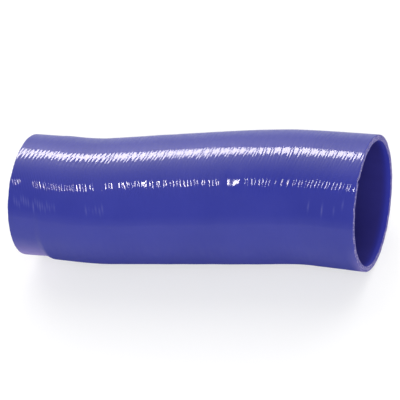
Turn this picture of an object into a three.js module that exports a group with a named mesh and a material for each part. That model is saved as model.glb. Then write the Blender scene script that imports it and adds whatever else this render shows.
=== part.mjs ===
// Charge air hose: a moulded silicone tube with two parallel, offset ends of unequal bore.
// Millimetres, +Z up. The hose lies on its side with the plane of its two bends level.
// +X runs from the small end to the large end, and the origin is under the middle of the hose.

import * as THREE from 'three';
import { mergeVertices } from 'three/addons/utils/BufferGeometryUtils.js';

// Bore of the moulding, from the small end to the mouth of the large end
const smallEndBore = 90;
const smallCuffBore = 91.3;
const bodyBore = 93.8;
const largeCuffBore = 100.2;
const mouthBore = 102;
const wall = 4.5;

// Centreline: three straight legs with two equal bends between them
const smallLegLength = 44;
const middleLegLength = 141;
const largeLegLength = 42;
const bendAngle = THREE.MathUtils.degToRad(9);
const bendRadius = 205;

// Off-centre shoulder where the small cuff meets the body: the cuff's centre lies above, so the
// step is highest on the underside and fades out towards the top
const cuffLength = 21.5;
const shoulderLength = 7;
const cuffRise = 1.3;

// Lengths, back from the shoulder and the mouth, over which the bore grows
const taperLength = 175;
const mouthLength = 54;

// Fineness of the facets
const sidesAround = 56;
const straightStep = 14.5;
const bendStep = 5.5;
const shoulderStep = 1.4;

const hoseColour = new THREE.Color(0x3d3f99);

// Distances along the centreline at which something starts or ends
const bendLength = bendRadius * bendAngle;
const firstBendStart = smallLegLength;
const firstBendEnd = firstBendStart + bendLength;
const secondBendStart = firstBendEnd + middleLegLength;
const secondBendEnd = secondBendStart + bendLength;
const hoseLength = secondBendEnd + largeLegLength;
const shoulderStart = cuffLength;
const shoulderEnd = shoulderStart + shoulderLength;
const taperEnd = shoulderEnd + taperLength;
const mouthStart = hoseLength - mouthLength;

// Half the angle of one facet: turned by it, a row of facets lies level along the bottom
const halfFacet = Math.PI / sidesAround;

// Share of the way from start to end, eased at both
function eased(along, start, end) {
  return THREE.MathUtils.smoothstep(along, start, end);
}

// Share of the way from start to end, at an even rate
function even(along, start, end) {
  return THREE.MathUtils.clamp((along - start) / (end - start), 0, 1);
}

function boreAt(along) {
  const cuffGrowth = (smallCuffBore - smallEndBore) * even(along, 0, shoulderStart);
  const shoulderGrowth = (bodyBore - smallCuffBore) * eased(along, shoulderStart, shoulderEnd);
  const taperGrowth = (largeCuffBore - bodyBore) * eased(along, shoulderEnd, taperEnd);
  const mouthGrowth = (mouthBore - largeCuffBore) * even(along, mouthStart, hoseLength);
  return smallEndBore + cuffGrowth + shoulderGrowth + taperGrowth + mouthGrowth;
}

function outerRadiusAt(along) {
  return boreAt(along) / 2 + wall;
}

// Share of the cuff's own place that is left: all of it in the cuff, none in the body
function cuffShareAt(along) {
  return 1 - eased(along, shoulderStart, shoulderEnd);
}

// Height of the centre: the body lies on z = 0 on one level row of facets, and carries the cuff
function centreHeightAt(along) {
  const carriedRadius = outerRadiusAt(Math.max(along, shoulderEnd));
  return carriedRadius * Math.cos(halfFacet) + cuffRise * cuffShareAt(along);
}

// The centreline in plan, as lines and arcs
function makeCentreline() {
  const path = new THREE.Path();
  path.moveTo(0, 0);
  path.lineTo(smallLegLength, 0);
  path.absarc(smallLegLength, bendRadius, bendRadius, -Math.PI / 2, bendAngle - Math.PI / 2, false);
  const middleStart = path.currentPoint.clone();
  const middleDirection = new THREE.Vector2(Math.cos(bendAngle), Math.sin(bendAngle));
  const middleEnd = middleStart.addScaledVector(middleDirection, middleLegLength);
  path.lineTo(middleEnd.x, middleEnd.y);
  const arcCentre = new THREE.Vector2(middleDirection.y, -middleDirection.x);
  arcCentre.multiplyScalar(bendRadius).add(middleEnd);
  path.absarc(arcCentre.x, arcCentre.y, bendRadius, bendAngle + Math.PI / 2, Math.PI / 2, true);
  path.lineTo(path.currentPoint.x + largeLegLength, path.currentPoint.y);
  return path;
}

function longestStepFrom(along) {
  if (along >= shoulderStart && along < shoulderEnd) {
    return shoulderStep;
  }
  const inFirstBend = along >= firstBendStart && along < firstBendEnd;
  const inSecondBend = along >= secondBendStart && along < secondBendEnd;
  return inFirstBend || inSecondBend ? bendStep : straightStep;
}

// Places along the centreline that get a ring of vertices, closest in the shoulder and the bends
function makeStations() {
  const landmarks = [
    shoulderStart,
    shoulderEnd,
    firstBendStart,
    firstBendEnd,
    secondBendStart,
    secondBendEnd,
    hoseLength,
  ];
  landmarks.sort((a, b) => a - b);
  const stations = [0];
  let start = 0;
  for (const end of landmarks) {
    const steps = Math.ceil((end - start) / longestStepFrom(start));
    for (let step = 1; step <= steps; step += 1) {
      stations.push(start + ((end - start) * step) / steps);
    }
    start = end;
  }
  return stations;
}

// Section of the wall: out along the outside, back along the bore, closed across both rims
function makeWallProfile() {
  const stations = makeStations();
  const outside = stations.map((along) => new THREE.Vector2(outerRadiusAt(along), along));
  const inside = stations.map((along) => new THREE.Vector2(boreAt(along) / 2, along));
  inside.reverse();
  return [...outside, ...inside, outside[0].clone()];
}

// Carries a point of the straight tube onto the bent centreline. Stored positions are rounded,
// so the last ring may lie a hair past the centreline's end.
function bendPoint(point, centreline) {
  const along = point.y;
  const share = Math.min(along / hoseLength, 1);
  const centre = centreline.getPoint(share);
  const direction = centreline.getTangent(share);
  return new THREE.Vector3(
    centre.x + direction.y * point.x,
    centre.y - direction.x * point.x,
    centreHeightAt(along) + point.z,
  );
}

function makeHoseGeometry() {
  const lathe = new THREE.LatheGeometry(makeWallProfile(), sidesAround, halfFacet);
  lathe.deleteAttribute('normal');
  lathe.deleteAttribute('uv');
  const geometry = mergeVertices(lathe);
  const centreline = makeCentreline();
  const position = geometry.getAttribute('position');
  const point = new THREE.Vector3();
  for (let i = 0; i < position.count; i += 1) {
    point.fromBufferAttribute(position, i);
    const bent = bendPoint(point, centreline);
    position.setXYZ(i, bent.x, bent.y, bent.z);
  }
  geometry.computeBoundingBox();
  const middle = geometry.boundingBox.getCenter(new THREE.Vector3());
  geometry.translate(-middle.x, -middle.y, 0);
  geometry.computeVertexNormals();
  return geometry;
}

function makeHose() {
  const silicone = new THREE.MeshStandardMaterial({
    color: hoseColour,
    roughness: 0.28,
    metalness: 0,
  });
  const hose = new THREE.Mesh(makeHoseGeometry(), silicone);
  hose.name = 'hose';
  return hose;
}

const chargeAirHose = new THREE.Group();
chargeAirHose.add(makeHose());

export default chargeAirHose;
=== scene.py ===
# Looks of the charge air hose: a detailed wall, glossy blue silicone, a pale floor and studio light.
# Metres, in the frame of the solids: +X from the small end to the large end, +Z up. The hose itself
# is worked out in millimetres. A side of it is an angle in degrees, from +Y towards +Z, so that the
# camera sees the sides from about 40 to 220.

from math import atan2, cos, degrees, exp, hypot, pi, radians, sin, tanh

import bmesh
import bpy
from mathutils import Matrix, Vector, noise


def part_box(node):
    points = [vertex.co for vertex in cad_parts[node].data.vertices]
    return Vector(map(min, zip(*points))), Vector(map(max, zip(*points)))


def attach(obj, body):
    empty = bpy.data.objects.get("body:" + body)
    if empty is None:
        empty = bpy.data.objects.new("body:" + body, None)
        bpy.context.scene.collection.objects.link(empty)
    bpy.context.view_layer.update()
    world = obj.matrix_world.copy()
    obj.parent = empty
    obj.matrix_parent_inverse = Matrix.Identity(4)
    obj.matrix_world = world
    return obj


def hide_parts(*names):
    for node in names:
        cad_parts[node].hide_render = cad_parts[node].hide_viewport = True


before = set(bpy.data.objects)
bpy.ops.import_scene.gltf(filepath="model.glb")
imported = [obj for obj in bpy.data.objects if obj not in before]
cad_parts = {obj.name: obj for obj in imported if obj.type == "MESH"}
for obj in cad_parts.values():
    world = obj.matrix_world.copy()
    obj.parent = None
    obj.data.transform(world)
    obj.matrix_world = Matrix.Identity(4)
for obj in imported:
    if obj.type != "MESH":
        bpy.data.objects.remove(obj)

MM = 0.001

# Moulding, as in the solids
SMALL_END_BORE = 90.0
SMALL_CUFF_BORE = 91.3
BODY_BORE = 93.8
LARGE_CUFF_BORE = 100.2
MOUTH_BORE = 102.0
WALL = 4.5
SMALL_LEG_LENGTH = 44.0
MIDDLE_LEG_LENGTH = 141.0
LARGE_LEG_LENGTH = 42.0
BEND_ANGLE = radians(9.0)
BEND_RADIUS = 205.0
CUFF_LENGTH = 21.5
SHOULDER_LENGTH = 7.0
CUFF_RISE = 1.3
TAPER_LENGTH = 175.0
MOUTH_LENGTH = 54.0

BEND_LENGTH = BEND_RADIUS * BEND_ANGLE
FIRST_BEND_END = SMALL_LEG_LENGTH + BEND_LENGTH
SECOND_BEND_START = FIRST_BEND_END + MIDDLE_LEG_LENGTH
SECOND_BEND_END = SECOND_BEND_START + BEND_LENGTH
HOSE_LENGTH = SECOND_BEND_END + LARGE_LEG_LENGTH
SHOULDER_END = CUFF_LENGTH + SHOULDER_LENGTH
TAPER_END = SHOULDER_END + TAPER_LENGTH
MOUTH_START = HOSE_LENGTH - MOUTH_LENGTH

# Fineness of the wall's mesh
SIDES_AROUND = 160
OUTER_CUTS = 440
INNER_CUTS = 60
RIM_CUTS = 3

# Straight tube from which the wall is bent: its two radii only tell the bore from the outside
BLANK_INNER = 45.0
BLANK_OUTER = 50.0
BLANK_WALL = BLANK_OUTER - BLANK_INNER
RIM_TOLERANCE = 0.001

# Places of the finishes in the mesh's list of materials
OUTSIDE, BORE, RIM = range(3)

# Radius at which a turn round the outside is counted as a distance
MEAN_RADIUS = 52.0

# Steps through the noise from one seed to the next
SEED_STEPS = (7.31, 3.17)

# Slow unevenness of the hand-wrapped wall and of its bore: height, length, girth and seed
OUTSIDE_LIFT = 0.15
OUTSIDE_WAVES = ((0.22, 34.0, 30.0, 3), (0.10, 12.0, 22.0, 4))
BORE_WAVES = ((0.10, 18.0, 24.0, 6),)

# Dents, and the opening of the small end's underside: height, place, side, length and girth
DENTS = ((-0.10, 63.0, 119.5, 2.6, 3.6), (-0.12, 54.0, 96.3, 15.0, 1.5))
UNDERSIDE_FLARE = (1.5, 0.0, 222.0, 15.0, 30.0)

# Patch that was pressed smooth, which slopes along the hose and droops at its tips. It fades out
# between two distances along the hose, and between two across it.
PATCH_PLACE = 186.0
PATCH_FADE_ALONG = (5.0, 9.5)
PATCH_FADE_ACROSS = (4.0, 12.0)
PATCH_SLOPE = 0.056
PATCH_DROOP = 0.0008
PATCH_LEVEL = 8.0

# Rims: how far the knife strayed, as depth, place in the noise and girth, with a seed for each
# end, the rounding of the edges, and a nick in the mouth's rim
CUT_WAVES = ((0.30, 0.0, 9.0), (0.16, 3.0, 2.4))
SMALL_END_SEED = 11
MOUTH_SEED = 14
EDGE_ROUNDING = 0.15
NICK_DEPTH = 0.9
NICK_SIDE = 112.0
NICK_GIRTH = 1.6

# Close to a rim, only this share of the unevenness is left
RIM_CALM_LENGTH = 1.5
RIM_CALM_SHARE = 0.35

# Sides of the hose that catch the long lamp and the small one, as two streaks of light
MAIN_STREAK = 91.0
MAIN_STREAK_GIRTH = 9.0
SECOND_STREAK = 119.0
SECOND_STREAK_GIRTH = 8.0

# Stretches in which one kind of place along the hose passes into the next
SMALL_END_FADE = (40.0, 85.0)
LARGE_END_FADE = (192.0, 222.0)
COMBED_FADE = (192.0, 202.0)
CALM_FADE = (85.0, 130.0)
FINE_FADE = (105.0, 120.0)
MOUTH_FADE = (212.0, 226.0)

# Sides between which the wrap marks pass over to those of the back and of the underside
BACK_FADE = (58.0, 82.0)
UNDERSIDE_FADE = (195.0, 220.0)

# Lean of the wrap marks near the side that faces up and forward, and how it changes across, in
# the small end, the body and the large end
WRAP_MIDDLE = radians(105.0)
WRAP_REACH = 20.0
WRAP_LEANS = (0.14, -0.223, -0.313)
WRAP_TURNS = (0.0473, 0.04, -0.0094)

# Distances between the wrap marks, and how far slow noise makes them drift
EVEN_PITCH = 2.3
BROAD_PITCH = 3.3
COMBED_PITCH = 5.8
DRIFT = 9.0
COMBED_DRIFT = 2.0

# Depths of the even, loose, broad, pulsing and combed wrap marks in each place. They add up. The
# pulsing ones are broad ones that swell and fade.
WRAP_MARKS = {
    "everywhere": (0.002, 0.010, 0.0, 0.0, 0.0),
    "far side": (0.012, 0.060, 0.0, 0.030, 0.0),
    "main streak": (0.010, 0.030, 0.0, 0.050, 0.0),
    "main streak, small end": (0.0, 0.0, 0.0, -0.008, 0.0),
    "main streak, calm stretch": (0.018, 0.0, 0.0, -0.026, 0.0),
    "main streak, large end": (0.018, 0.0, 0.0, -0.006, 0.0),
    "second streak, small end": (0.068, 0.040, 0.0, 0.0, 0.0),
    "second streak, body": (0.0, 0.100, 0.0, 0.0, 0.0),
    "second streak, first stretch": (0.0, 0.0, 0.050, 0.0, 0.0),
    "second streak, fine stretch": (0.0, 0.0, 0.0, 0.0, 0.065),
    "second streak, large end": (0.0, 0.0, 0.046, 0.0, 0.0),
    "second streak, mouth": (0.0, 0.0, 0.0, 0.0, 0.060),
}
PULSE = 1.1
PULSE_LENGTH = 16.0
PULSE_GIRTH = 30.0
PULSE_SEED = 5

# Places in the second streak where the wrap marks are worn away: place and length
WORN_PLACES = ((15.0, 5.0), (73.5, 6.5), (88.0, 4.0))
WORN_GIRTH = 7.0
WORN_SHARE = 0.9

# Glossy coat: its weight, and how much less of it there is on the underside, in the patch and in
# the second streak, where it is also grained
COAT_WEIGHT = 0.24
UNDERSIDE = 255.0
UNDERSIDE_SPREAD = 80.0
UNDERSIDE_DULLNESS = 0.85
PATCH_DULLNESS = 0.3
BAND_GIRTH = 12.0
BAND_DULLNESS = 0.22
COMBED_DULLNESS = 0.33
GRAIN_BEFORE_COMBED = 0.35
GRAIN_DEPTH = 0.018

# Rows of short pale scuffs across the hose: start, end and step along it. Luck changes each
# scuff's strength and girth, and makes it stray to a side.
SCUFF_ROWS = ((6.0, 42.0, 2.1), (65.0, 79.0, 2.4), (254.0, 286.0, 10.2))
SCUFF_SIDE = 139.0
SCUFF_STRAY = 9.0
SCUFF_STRENGTH, SCUFF_STRENGTH_LUCK = 0.55, 0.9
SCUFF_GIRTH, SCUFF_GIRTH_LUCK = 3.0, 2.5
SCUFF_LENGTH = 0.55
SCUFF_REACH = 2.0
SCUFF_COVER = 0.6

# Painted reflection of the floor, pale, under the small cuff up to the shoulder and below the mouth
PAINTED_REFLECTION_RISE = (176.0, 214.0)
PAINTED_REFLECTION_RISE_POWER = 1.6
PAINTED_REFLECTION_FADE = (235.0, 290.0)
PAINTED_REFLECTION_EDGE = 3.0
MOUTH_REFLECTION_LENGTH = 9.0
MOUTH_REFLECTION_SIDE = 232.0
MOUTH_REFLECTION_SPREAD = 34.0
PAINTED_REFLECTION_COVER = 0.62

# Painted light in the bore: brighter near the mouth; how far from the mouth it starts and is full
BORE_PAINTED_LIGHT = (9.0, 2.0)

# Fabric plies in the wall, which show in the rims
PLIES = 4
PLY_CONTRAST = 0.06

# Colours, alone or as stops over a noise
SILICONE_STOPS = [(0.35, (0.019, 0.026, 0.276)), (0.65, (0.024, 0.031, 0.296))]
SCUFF_COLOUR = (0.15, 0.16, 0.42)
PAINTED_REFLECTION_COLOUR = (0.58, 0.48, 0.92)
BORE_STOPS = [(0.35, (0.030, 0.027, 0.200)), (0.65, (0.036, 0.033, 0.228))]
BORE_PAINTED_LIGHT_COLOUR = (0.030, 0.034, 0.330)
RIM_STOPS = [(0.40, (0.06, 0.055, 0.33)), (0.54, (0.14, 0.125, 0.43)), (0.67, (0.66, 0.60, 0.82))]

# Roughness of the silicone under its coat, as stops over a noise, and where the coat is gone
ROUGHNESS_STOPS = [(0.3, (0.46, 0.46, 0.46)), (0.7, (0.56, 0.56, 0.56))]
BARE_ROUGHNESS = (0.95, 0.95, 0.95)

# Floor, just under the hose, which the camera sees as white
FLOOR_REACH = 40.0
FLOOR_HEIGHT = -0.0002
FLOOR_COLOUR = (0.48, 0.48, 0.48)
FLOOR_SELF_WHITE = 0.54

# Studio: a ceiling that is white at the horizon and dim above it, and a white wall behind
WHITE = (1.0, 1.0, 1.0)
DIM = (0.33, 0.33, 0.34)
CEILING_STOPS = [(0.0, WHITE), (0.04, (0.8, 0.8, 0.8)), (0.3, DIM), (1.0, DIM)]
WALL_STOPS = [(0.0, (0.0, 0.0, 0.0)), (0.38, (0.18, 0.18, 0.18)), (0.74, WHITE)]
WALL_COLOUR = (1.0, 0.97, 0.99)
LAMP_COLOUR = (1.0, 0.93, 0.87)
LAMP_DISTANCE = 1.2
LAMP_AIM = Vector((0.0, 0.0, 0.055))

# Camera, from the fit of the hose's outline to the photograph
CAMERA_AZIMUTH = radians(28.04)
CAMERA_ELEVATION = radians(46.45)
CAMERA_ROLL = radians(-14.74)
CAMERA_DISTANCE = 2.2014
CAMERA_AIM = Vector((0.0, -0.0016, 0.0516))
CAMERA_LENS = 241.8
CAMERA_SENSOR = 36.0
CAMERA_SIGHT = 200.0


def eased(value, start, end):
    """Share of the way from start to end, eased at both."""
    share = even(value, start, end)
    return share * share * (3.0 - 2.0 * share)


def even(value, start, end):
    """Share of the way from start to end, at an even rate."""
    return min(max((value - start) / (end - start), 0.0), 1.0)


def bore_at(along):
    bore = SMALL_END_BORE
    bore += (SMALL_CUFF_BORE - SMALL_END_BORE) * even(along, 0.0, CUFF_LENGTH)
    bore += (BODY_BORE - SMALL_CUFF_BORE) * eased(along, CUFF_LENGTH, SHOULDER_END)
    bore += (LARGE_CUFF_BORE - BODY_BORE) * eased(along, SHOULDER_END, TAPER_END)
    bore += (MOUTH_BORE - LARGE_CUFF_BORE) * even(along, MOUTH_START, HOSE_LENGTH)
    return bore


def outer_radius_at(along):
    return bore_at(along) / 2 + WALL


def cuff_share_at(along):
    """Share of the cuff's own height that is left: all of it in the cuff, none in the body."""
    return 1.0 - eased(along, CUFF_LENGTH, SHOULDER_END)


def centre_at(along):
    """Point and heading of the centreline in plan, from the small end."""
    first = BEND_ANGLE * even(along, SMALL_LEG_LENGTH, FIRST_BEND_END)
    second = BEND_ANGLE * even(along, SECOND_BEND_START, SECOND_BEND_END)
    straight_before = min(along, SMALL_LEG_LENGTH)
    straight_middle = min(max(along - FIRST_BEND_END, 0.0), MIDDLE_LEG_LENGTH)
    straight_after = max(along - SECOND_BEND_END, 0.0)
    x = straight_before + BEND_RADIUS * sin(first)
    y = BEND_RADIUS * (1.0 - cos(first))
    x += straight_middle * cos(BEND_ANGLE)
    y += straight_middle * sin(BEND_ANGLE)
    x += BEND_RADIUS * (sin(BEND_ANGLE) - sin(BEND_ANGLE - second))
    y += BEND_RADIUS * (cos(BEND_ANGLE - second) - cos(BEND_ANGLE))
    x += straight_after
    return x, y, first - second


def centre_height_at(along):
    """Height of the centre: the body lies on the floor, and carries the cuff."""
    return outer_radius_at(max(along, SHOULDER_END)) + CUFF_RISE * cuff_share_at(along)


def wave(along, angle, length, girth, seed):
    """Smooth noise, with its own grain along the hose and round it, that closes on itself."""
    y = MEAN_RADIUS * cos(angle) / girth + seed * SEED_STEPS[0]
    z = MEAN_RADIUS * sin(angle) / girth - seed * SEED_STEPS[1]
    return noise.noise(Vector((along / length, y, z)))


def waves(along, angle, rows):
    return sum(height * wave(along, angle, *grain) for height, *grain in rows)


def side_of(angle):
    """Side in degrees, from 0 to 360."""
    return degrees(angle) % 360.0


def distance_from(angle, side):
    """Distance round the outside from a side: above 0 further round, below 0 before it."""
    turn = (angle - radians(side) + pi) % (2 * pi) - pi
    return turn * MEAN_RADIUS


def line(angle, side, girth):
    """1 on a line along the hose, fading out beside it."""
    return exp(-((distance_from(angle, side) / girth) ** 2))


def spot(along, angle, place, side, length, girth):
    """1 in the middle of a small oval spot, fading out at its edge."""
    return exp(-(((along - place) / length) ** 2)) * line(angle, side, girth)


def zones(along):
    """Shares of the small end, the body and the large end in a place along the hose."""
    start = 1.0 - eased(along, *SMALL_END_FADE)
    end = eased(along, *LARGE_END_FADE)
    return start, 1.0 - start - end, end


def blend(shares, values):
    """Value at a place, from the values of the small end, the body and the large end."""
    return sum(share * value for share, value in zip(shares, values))


def leaned(along, angle):
    """Distance along the hose, counted along the leaning wrap marks."""
    shares = zones(along)
    lean = blend(shares, WRAP_LEANS)
    turn = blend(shares, WRAP_TURNS)
    side = WRAP_REACH * tanh(MEAN_RADIUS * sin(angle - WRAP_MIDDLE) / WRAP_REACH)
    return along - lean * side - 0.5 * turn * side * side


def combed_share(along):
    """Share of the stretch near the mouth where the second streak's marks are coarse and even."""
    return eased(along, *COMBED_FADE)


def patch_share(along, angle):
    """Share of the patch that was pressed smooth."""
    share = 1.0 - eased(abs(along - PATCH_PLACE), *PATCH_FADE_ALONG)
    return share * (1.0 - eased(abs(distance_from(angle, SECOND_STREAK)), *PATCH_FADE_ACROSS))


def patch_height(along, angle):
    """Height of the pressed patch, which slopes and droops at its tips."""
    reach = along - PATCH_PLACE
    droop = PATCH_DROOP * distance_from(angle, SECOND_STREAK) * (reach * reach - PATCH_LEVEL)
    return (PATCH_SLOPE * reach - droop) * patch_share(along, angle)


def far_side(angle):
    """1 behind and underneath, 0 on the sides that face up and forward."""
    side = side_of(angle)
    return max(1.0 - eased(side, *BACK_FADE), eased(side, *UNDERSIDE_FADE))


def wrap_shares(along, angle):
    """Shares of the places named in WRAP_MARKS, at one point of the outside."""
    start, body, end = zones(along)
    combed = combed_share(along)
    calm = body * eased(along, *CALM_FADE)
    fine = body * eased(along, *FINE_FADE) * (1.0 - combed)
    mouth = eased(along, *MOUTH_FADE)
    main = line(angle, MAIN_STREAK, MAIN_STREAK_GIRTH)
    second = line(angle, SECOND_STREAK, SECOND_STREAK_GIRTH)
    return {
        "everywhere": 1.0,
        "far side": far_side(angle),
        "main streak": main,
        "main streak, small end": main * start,
        "main streak, calm stretch": main * calm,
        "main streak, large end": main * end,
        "second streak, small end": second * start,
        "second streak, body": second * body * (1.0 - combed),
        "second streak, first stretch": second * (body - fine) * (1.0 - combed),
        "second streak, fine stretch": second * fine,
        "second streak, large end": second * combed * (1.0 - mouth),
        "second streak, mouth": second * combed * mouth,
    }


def unworn_share(along, angle):
    """Share of the wrap marks that is left in the patch and in the worn places."""
    left = 1.0 - WORN_SHARE * patch_share(along, angle)
    for place, length in WORN_PLACES:
        left *= 1.0 - WORN_SHARE * spot(along, angle, place, SECOND_STREAK, length, WORN_GIRTH)
    return left


def depths_at(along, angle):
    """Depths of the even, loose, broad and combed wrap marks, which are a texture."""
    totals = [0.0] * 5
    for place, share in wrap_shares(along, angle).items():
        for kind, depth in enumerate(WRAP_MARKS[place]):
            totals[kind] += share * depth
    even_marks, loose, broad, pulsing, combed = totals
    swell = wave(leaned(along, angle), angle, PULSE_LENGTH, PULSE_GIRTH, PULSE_SEED)
    broad += pulsing * (1.0 + PULSE * swell)
    left = unworn_share(along, angle)
    return [depth * left for depth in (even_marks, loose, broad, combed)]


def grain_at(along, angle):
    """Share of the slightly dull, grained gloss in the second streak, strongest near the mouth."""
    share = GRAIN_BEFORE_COMBED + (1.0 - GRAIN_BEFORE_COMBED) * combed_share(along)
    return share * line(angle, SECOND_STREAK, BAND_GIRTH)


def gloss_at(along, angle):
    """Weight of the glossy coat: the underside and a band in front are duller."""
    below = 1.0 - abs(side_of(angle) - UNDERSIDE) / UNDERSIDE_SPREAD
    left = 1.0 - UNDERSIDE_DULLNESS * eased(below, 0.0, 0.5)
    left -= PATCH_DULLNESS * patch_share(along, angle)
    band = BAND_DULLNESS + COMBED_DULLNESS * combed_share(along)
    return COAT_WEIGHT * left * (1.0 - band * line(angle, SECOND_STREAK, BAND_GIRTH))


def make_scuffs():
    """Short strokes across the hose: place, side, strength and girth."""
    scuffs = []
    for start, end, step in SCUFF_ROWS:
        place = start
        while place < end:
            luck = noise.noise(Vector((place * 3.7, 0.0, 5.0)))
            stray = noise.noise(Vector((place * 2.3, 4.0, 1.0)))
            side = SCUFF_SIDE + SCUFF_STRAY * stray
            at = leaned(place + 0.5 * step * stray, radians(side))
            strength = SCUFF_STRENGTH + SCUFF_STRENGTH_LUCK * luck
            scuffs.append((at, side, strength, SCUFF_GIRTH + SCUFF_GIRTH_LUCK * luck))
            place += step
    return scuffs


def rub_at(along, angle, scuffs):
    """Share of the pale scuffs."""
    here = leaned(along, angle)
    rub = 0.0
    for at, side, strength, girth in scuffs:
        if abs(here - at) < SCUFF_REACH:
            rub += strength * spot(here, angle, at, side, SCUFF_LENGTH, girth)
    return min(max(rub, 0.0), 1.0)


def painted_reflection_at(along, angle):
    """Share of the pale painted reflection of the floor under the small cuff and below the mouth."""
    side = side_of(angle)
    under = even(side, *PAINTED_REFLECTION_RISE) ** PAINTED_REFLECTION_RISE_POWER * (1.0 - eased(side, *PAINTED_REFLECTION_FADE))
    cuff = under * (1.0 - even(along, SHOULDER_END - PAINTED_REFLECTION_EDGE, SHOULDER_END))
    mouth = even(along, HOSE_LENGTH - MOUTH_REFLECTION_LENGTH, HOSE_LENGTH) ** 2
    mouth *= exp(-(((side - MOUTH_REFLECTION_SIDE) / MOUTH_REFLECTION_SPREAD) ** 2))
    return max(cuff, mouth)


def outside_detail(along, angle):
    """Height of the outside over the plain moulding."""
    detail = OUTSIDE_LIFT + waves(along, angle, OUTSIDE_WAVES)
    detail += patch_height(along, angle)
    for height, *shape in DENTS:
        detail += height * spot(along, angle, *shape)
    from_rim = min(along, HOSE_LENGTH - along)
    left = RIM_CALM_SHARE + (1.0 - RIM_CALM_SHARE) * even(from_rim, 0.0, RIM_CALM_LENGTH)
    return detail * left


def end_flare(along, angle):
    """Underside of the small end, which opens a little towards its rim."""
    height, *shape = UNDERSIDE_FLARE
    return height * spot(along, angle, *shape)


def cut_detail(angle, depth, seed):
    """How far a rim lies inward of a square cut: the knife's straying and the rounded edges."""
    detail = EDGE_ROUNDING * abs(2.0 * depth - 1.0) ** 6
    for i, (height, place, girth) in enumerate(CUT_WAVES):
        detail += height * wave(place, angle, 1.0, girth, seed + i)
    return detail


def bend_point(along, angle, depth):
    """Place of a point of the wall: depth is 0 on the bore and 1 on the outside."""
    radius = bore_at(along) / 2 + WALL * depth + end_flare(along, angle)
    radius += depth * outside_detail(along, angle)
    radius += (1.0 - depth) * waves(along, angle, BORE_WAVES)
    reach = along
    if along < RIM_TOLERANCE:
        reach += cut_detail(angle, depth, SMALL_END_SEED)
    elif along > HOSE_LENGTH - RIM_TOLERANCE:
        reach -= cut_detail(angle, depth, MOUTH_SEED)
        reach -= NICK_DEPTH * line(angle, NICK_SIDE, NICK_GIRTH)
    x, y, heading = centre_at(reach)
    sideways = radius * cos(angle)
    height = centre_height_at(along) + radius * sin(angle)
    return Vector((x - sin(heading) * sideways, y + cos(heading) * sideways, height))


def make_blank():
    """A straight tube: the section of the wall, cut finely and spun round the X axis."""
    blank = bmesh.new()
    corners = [
        blank.verts.new((0.0, BLANK_INNER, 0.0)),
        blank.verts.new((0.0, BLANK_OUTER, 0.0)),
        blank.verts.new((HOSE_LENGTH, BLANK_OUTER, 0.0)),
        blank.verts.new((HOSE_LENGTH, BLANK_INNER, 0.0)),
    ]
    cuts = [RIM_CUTS, OUTER_CUTS, RIM_CUTS, INNER_CUTS]
    sides = [blank.edges.new((corners[i], corners[(i + 1) % 4])) for i in range(4)]
    for side, count in zip(sides, cuts):
        bmesh.ops.subdivide_edges(blank, edges=[side], cuts=count)
    bmesh.ops.spin(
        blank,
        geom=blank.verts[:] + blank.edges[:],
        cent=(0.0, 0.0, 0.0),
        axis=(1.0, 0.0, 0.0),
        angle=2 * pi,
        steps=SIDES_AROUND,
        use_merge=True,
    )
    bmesh.ops.remove_doubles(blank, verts=blank.verts[:], dist=1e-4)
    bmesh.ops.recalc_face_normals(blank, faces=blank.faces[:])
    return blank


def blank_place(vert):
    """Distance along the blank, angle round it and depth in its wall, from 0 to 1."""
    along, y, z = vert.co
    return along, atan2(z, y), even(hypot(y, z), BLANK_INNER, BLANK_OUTER)


def store_looks(blank):
    """Stores in the blank what the materials read on the bent hose."""
    layers = blank.verts.layers
    tube_place = layers.float_vector.new("tube_place")
    wrap_place = layers.float_vector.new("wrap_place")
    wrap_depths = layers.float_color.new("wrap_depths")
    grain = layers.float.new("grain")
    gloss = layers.float.new("gloss")
    rub = layers.float.new("rub")
    # pale: share of the painted reflection of the floor under the small cuff and below the mouth
    pale = layers.float.new("pale")
    scuffs = make_scuffs()
    for vert in blank.verts:
        along, angle, _ = blank_place(vert)
        vert[tube_place] = vert.co * MM
        vert[wrap_place] = Vector((leaned(along, angle), vert.co.y, vert.co.z)) * MM
        vert[wrap_depths] = depths_at(along, angle)
        vert[grain] = grain_at(along, angle)
        vert[gloss] = gloss_at(along, angle)
        vert[rub] = rub_at(along, angle, scuffs)
        vert[pale] = painted_reflection_at(along, angle)


def assign_finishes(blank):
    """Gives the outside, the bore and the flat rims their finishes."""
    for face in blank.faces:
        depths = [blank_place(vert)[2] for vert in face.verts]
        on_rim = len({round(vert.co.x, 3) for vert in face.verts}) == 1
        outside = min(depths) > 0.5
        face.material_index = RIM if on_rim else (OUTSIDE if outside else BORE)
        face.smooth = not on_rim


def rest_on_floor(hose):
    """Moves the hose over the middle of the solid, with its underside on the floor."""
    low = Vector([min(vert.co[i] for vert in hose.verts) for i in range(3)])
    high = Vector([max(vert.co[i] for vert in hose.verts) for i in range(3)])
    solid_low, solid_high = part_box("hose")
    middle = (Vector(solid_low) + Vector(solid_high)) / 2
    shift = middle - (low + high) / 2
    shift.z = -low.z
    bmesh.ops.translate(hose, verts=hose.verts[:], vec=shift)


def add_piece(name, shape, finishes):
    """Makes an object of a bmesh, which is freed."""
    mesh = bpy.data.meshes.new(name)
    shape.to_mesh(mesh)
    shape.free()
    for finish in finishes:
        mesh.materials.append(finish)
    piece = bpy.data.objects.new(name, mesh)
    bpy.context.collection.objects.link(piece)
    return piece


def make_hose(silicone, bore_finish, cut_finish):
    hose = make_blank()
    store_looks(hose)
    assign_finishes(hose)
    for vert in hose.verts:
        vert.co = bend_point(*blank_place(vert)) * MM
    rest_on_floor(hose)
    piece = add_piece("moulded_hose", hose, [silicone, bore_finish, cut_finish])
    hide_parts("hose")
    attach(piece, "root")


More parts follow.
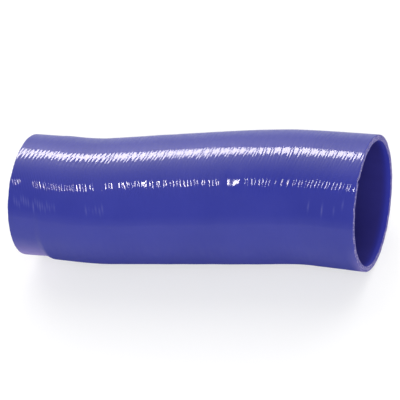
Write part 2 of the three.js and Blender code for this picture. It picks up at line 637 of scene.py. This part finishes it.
def new_finish(name):
    finish = bpy.data.materials.new(name)
    finish.use_nodes = True
    return finish, finish.node_tree, finish.node_tree.nodes["Principled BSDF"]


def set_sockets(shader, values):
    for name, value in values.items():
        shader.inputs[name].default_value = value


def read_attribute(tree, name):
    source = tree.nodes.new("ShaderNodeAttribute")
    source.attribute_name = name
    return source.outputs


def tube_coordinates(tree, scale, name="tube_place"):
    """Coordinates of the straight tube, stretched: x along the hose, y and z round it."""
    stretch = tree.nodes.new("ShaderNodeMapping")
    stretch.inputs["Scale"].default_value = scale
    tree.links.new(read_attribute(tree, name)["Vector"], stretch.inputs["Vector"])
    return stretch.outputs["Vector"]


def distance_along(tree, name):
    """Distance along the hose in metres, plain or counted along the leaning wrap marks."""
    parts = tree.nodes.new("ShaderNodeSeparateXYZ")
    tree.links.new(read_attribute(tree, name)["Vector"], parts.inputs["Vector"])
    return parts.outputs["X"]


def add_noise(tree, vector, scale, detail, roughness=0.5):
    grain = tree.nodes.new("ShaderNodeTexNoise")
    set_sockets(grain, {"Scale": scale, "Detail": detail, "Roughness": roughness})
    tree.links.new(vector, grain.inputs["Vector"])
    return grain.outputs["Fac"]


def add_ramp(tree, value, stops):
    ramp = tree.nodes.new("ShaderNodeValToRGB")
    while len(ramp.color_ramp.elements) < len(stops):
        ramp.color_ramp.elements.new(0.5)
    for element, (position, colour) in zip(ramp.color_ramp.elements, stops):
        element.position = position
        element.color = (*colour, 1.0)
    tree.links.new(value, ramp.inputs["Fac"])
    return ramp.outputs["Color"]


def add_range(tree, value, start, end, interpolation="LINEAR"):
    """0 at the start value, 1 at the end value."""
    share = tree.nodes.new("ShaderNodeMapRange")
    share.interpolation_type = interpolation
    set_sockets(share, {"From Min": start, "From Max": end})
    tree.links.new(value, share.inputs["Value"])
    return share.outputs["Result"]


def add_math(tree, operation, *values):
    step = tree.nodes.new("ShaderNodeMath")
    step.operation = operation
    for socket, value in zip(step.inputs, values):
        if isinstance(value, float):
            socket.default_value = value
        else:
            tree.links.new(value, socket)
    return step.outputs[0]


def cover(tree, share, below, colour):
    """A colour laid over another one."""
    mix = tree.nodes.new("ShaderNodeMix")
    mix.data_type = "RGBA"
    tree.links.new(share, mix.inputs["Factor"])
    tree.links.new(below, mix.inputs["A"])
    mix.inputs["B"].default_value = (*colour, 1.0)
    return mix.outputs["Result"]


def add_bump(tree, shader, height, distance, strength):
    bump = tree.nodes.new("ShaderNodeBump")
    set_sockets(bump, {"Strength": strength, "Distance": distance})
    tree.links.new(height, bump.inputs["Height"])
    for name in ("Normal", "Coat Normal"):
        tree.links.new(bump.outputs["Normal"], shader.inputs[name])


def add_ridges(tree, across, drift, pitch):
    """Even ridges across the hose, drifting a little."""
    turns = add_math(tree, "MULTIPLY", across, 2 * pi / (pitch * MM))
    return add_math(tree, "SINE", add_math(tree, "ADD", turns, drift))


def wrap_texture(tree):
    """Height in mm of the wrap marks and of the grain in the second streak."""
    across = distance_along(tree, "wrap_place")
    slow = add_noise(tree, tube_coordinates(tree, (1.0, 0.4, 0.4), "wrap_place"), 90.0, 1.0)
    drift = add_math(tree, "MULTIPLY", slow, DRIFT)
    combed_drift = add_math(tree, "MULTIPLY", slow, COMBED_DRIFT)
    heights = [
        add_ridges(tree, across, drift, EVEN_PITCH),
        add_noise(tree, tube_coordinates(tree, (1.0, 0.6, 0.6), "wrap_place"), 420.0, 0.5),
        add_ridges(tree, across, drift, BROAD_PITCH),
        add_ridges(tree, across, combed_drift, COMBED_PITCH),
        add_noise(tree, tube_coordinates(tree, (0.06, 1.0, 1.0)), 2400.0, 1.0),
    ]
    stored = read_attribute(tree, "wrap_depths")
    depths = tree.nodes.new("ShaderNodeSeparateColor")
    tree.links.new(stored["Color"], depths.inputs["Color"])
    grain = add_math(tree, "MULTIPLY", read_attribute(tree, "grain")["Fac"], GRAIN_DEPTH)
    total = 0.0
    for height, depth in zip(heights, [*depths.outputs, stored["Alpha"], grain]):
        total = add_math(tree, "MULTIPLY_ADD", height, depth, total)
    return total


def moulded_silicone():
    """Glossy blue outside, with wrap marks, scuffs, a pale painted reflection and dull places."""
    finish, tree, shader = new_finish("moulded_silicone")
    set_sockets(shader, {
        "Specular IOR Level": 0.21,
        "Coat Weight": COAT_WEIGHT,
        "Coat IOR": 2.0,
        "Coat Roughness": 0.07,
    })
    clouds = add_noise(tree, tube_coordinates(tree, (1.0, 1.0, 1.0)), 22.0, 3.0)
    colour = add_ramp(tree, clouds, SILICONE_STOPS)
    scuffed = add_math(tree, "MULTIPLY", read_attribute(tree, "rub")["Fac"], SCUFF_COVER)
    colour = cover(tree, scuffed, colour, SCUFF_COLOUR)
    # Painted reflection of the bright floor, laid on as pale lilac colour under the cuff and mouth
    reflection_share = add_math(tree, "MULTIPLY", read_attribute(tree, "pale")["Fac"], PAINTED_REFLECTION_COVER)
    colour = cover(tree, reflection_share, colour, PAINTED_REFLECTION_COLOUR)
    tree.links.new(colour, shader.inputs["Base Color"])
    gloss = read_attribute(tree, "gloss")["Fac"]
    tree.links.new(gloss, shader.inputs["Coat Weight"])
    bare = add_range(tree, gloss, COAT_WEIGHT, 0.0)
    wear = add_noise(tree, tube_coordinates(tree, (1.0, 0.35, 0.35)), 300.0, 2.0)
    roughness = cover(tree, bare, add_ramp(tree, wear, ROUGHNESS_STOPS), BARE_ROUGHNESS)
    tree.links.new(roughness, shader.inputs["Roughness"])
    add_bump(tree, shader, wrap_texture(tree), 1.0 * MM, 1.0)
    return finish


def satin_bore():
    """Inside, where the silicone took the mandrel's satin finish. Painted light makes it brighter
    near the mouth.
    """
    finish, tree, shader = new_finish("satin_bore")
    set_sockets(shader, {
        "Specular IOR Level": 0.1,
        "Roughness": 0.6,
        "Coat Weight": 0.03,
        "Coat Roughness": 0.25,
    })
    clouds = add_noise(tree, tube_coordinates(tree, (0.4, 1.0, 1.0)), 40.0, 3.0)
    deep = add_ramp(tree, clouds, BORE_STOPS)
    # Painted light: the bore's colour turns brighter towards the mouth, where more light reaches in
    start, end = [(HOSE_LENGTH - distance) * MM for distance in BORE_PAINTED_LIGHT]
    band = add_range(tree, distance_along(tree, "tube_place"), start, end, "SMOOTHSTEP")
    colour = cover(tree, band, deep, BORE_PAINTED_LIGHT_COLOUR)
    tree.links.new(colour, shader.inputs["Base Color"])
    streaks = add_noise(tree, tube_coordinates(tree, (0.1, 1.0, 1.0)), 500.0, 2.0)
    add_bump(tree, shader, streaks, 0.1 * MM, 0.3)
    return finish


def cut_silicone():
    """Cut rim: paler, dull and speckled with the ends of the threads, in rings like the plies."""
    finish, tree, shader = new_finish("cut_silicone")
    set_sockets(shader, {"Specular IOR Level": 0.3, "Roughness": 0.7})
    speckle = add_noise(tree, tube_coordinates(tree, (1.0, 1.0, 1.0)), 900.0, 3.0, 0.6)
    radius = tree.nodes.new("ShaderNodeVectorMath")
    radius.operation = "LENGTH"
    tree.links.new(tube_coordinates(tree, (0.0, 1.0, 1.0)), radius.inputs[0])
    depth = add_math(tree, "SUBTRACT", radius.outputs["Value"], BLANK_INNER * MM)
    turns = add_math(tree, "MULTIPLY", depth, 2 * pi * PLIES / (BLANK_WALL * MM))
    plies = add_math(tree, "MULTIPLY", add_math(tree, "COSINE", turns), -PLY_CONTRAST)
    colour = add_ramp(tree, add_math(tree, "ADD", speckle, plies), RIM_STOPS)
    tree.links.new(colour, shader.inputs["Base Color"])
    add_bump(tree, shader, speckle, 0.3 * MM, 0.6)
    return finish


def seen_directly(tree):
    """1 where the camera, a reflection or a transmission looks at a surface, 0 where light falls."""
    rays = tree.nodes.new("ShaderNodeLightPath").outputs
    seen = add_math(tree, "MAXIMUM", rays["Is Camera Ray"], rays["Is Glossy Ray"])
    return add_math(tree, "MAXIMUM", seen, rays["Is Transmission Ray"])


def pale_floor():
    finish, tree, shader = new_finish("pale_floor")
    set_sockets(shader, {
        "Base Color": (*FLOOR_COLOUR, 1.0),
        "Roughness": 0.9,
        "Specular IOR Level": 0.1,
        "Emission Color": (*WHITE, 1.0),
    })
    glow = add_math(tree, "MULTIPLY", seen_directly(tree), FLOOR_SELF_WHITE)
    tree.links.new(glow, shader.inputs["Emission Strength"])
    return finish


def make_floor():
    floor = bmesh.new()
    bmesh.ops.create_grid(floor, x_segments=1, y_segments=1, size=FLOOR_REACH)
    bmesh.ops.translate(floor, verts=floor.verts[:], vec=(0.0, 0.0, FLOOR_HEIGHT))
    piece = add_piece("floor", floor, [pale_floor()])


def make_world():
    """A white horizon and back wall, under a dim studio ceiling."""
    world = bpy.data.worlds.new("studio")
    bpy.context.scene.world = world
    world.use_nodes = True
    tree = world.node_tree
    place = tree.nodes.new("ShaderNodeTexCoord")
    parts = tree.nodes.new("ShaderNodeSeparateXYZ")
    tree.links.new(place.outputs["Generated"], parts.inputs["Vector"])
    ceiling = add_ramp(tree, parts.outputs["Z"], CEILING_STOPS)
    behind = add_ramp(tree, parts.outputs["Y"], WALL_STOPS)
    colour = cover(tree, behind, ceiling, WALL_COLOUR)
    background = tree.nodes["Background"]
    tree.links.new(colour, background.inputs["Color"])
    background.inputs["Strength"].default_value = 1.0


def add_lamp(name, x, roll, length, width, power):
    """A soft lamp, turned up about the hose's axis from the camera's side by its roll."""
    light = bpy.data.lights.new(name, "AREA")
    light.shape = "RECTANGLE"
    light.size = length
    light.size_y = width
    light.energy = power
    light.color = LAMP_COLOUR
    lamp = bpy.data.objects.new(name, light)
    rise = radians(roll)
    place = Vector((x, -LAMP_DISTANCE * cos(rise), LAMP_DISTANCE * sin(rise)))
    back = (place - LAMP_AIM).normalized()
    side = (Vector((1.0, 0.0, 0.0)) - back * back.x).normalized()
    turned = Matrix((side, back.cross(side), back)).transposed().to_4x4()
    lamp.matrix_world = Matrix.Translation(place) @ turned
    lamp.visible_diffuse = False
    bpy.context.collection.objects.link(lamp)


def add_sun(name, power, spread, back):
    """An even fill light without a reflection of its own."""
    light = bpy.data.lights.new(name, "SUN")
    light.energy = power
    light.angle = radians(spread)
    lamp = bpy.data.objects.new(name, light)
    lamp.rotation_mode = "QUATERNION"
    lamp.rotation_quaternion = back.to_track_quat("Z", "Y")
    lamp.visible_glossy = False
    bpy.context.collection.objects.link(lamp)


def make_lamps():
    add_lamp("long_strip", x=-0.68, roll=130.6, length=1.1, width=0.31, power=26.5)
    add_lamp("small_lamp", x=-0.30, roll=72.9, length=0.055, width=0.20, power=2.8)
    add_sun("front_fill", power=2.0, spread=60.0, back=Vector((0.30, -0.78, 0.55)))
    add_sun("rear_fill", power=1.75, spread=80.0, back=Vector((-0.1, 0.7, 0.7)))


def make_camera():
    azimuth, elevation = CAMERA_AZIMUTH, CAMERA_ELEVATION
    back = Vector((sin(azimuth) * cos(elevation), -cos(azimuth) * cos(elevation), sin(elevation)))
    level = Vector((cos(azimuth), sin(azimuth), 0.0))
    upright = back.cross(level)
    right = level * cos(CAMERA_ROLL) + upright * sin(CAMERA_ROLL)
    data = bpy.data.cameras.new("camera")
    data.sensor_width = CAMERA_SENSOR
    data.lens = CAMERA_LENS
    data.clip_end = CAMERA_SIGHT
    camera = bpy.data.objects.new("camera", data)
    turned = Matrix((right, back.cross(right), back)).transposed().to_4x4()
    camera.matrix_world = Matrix.Translation(CAMERA_AIM + back * CAMERA_DISTANCE) @ turned
    bpy.context.collection.objects.link(camera)
    bpy.context.scene.camera = camera


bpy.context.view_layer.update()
bpy.context.scene.view_settings.view_transform = "Standard"
make_camera()
make_hose(moulded_silicone(), satin_bore(), cut_silicone())
make_floor()
make_world()
make_lamps()
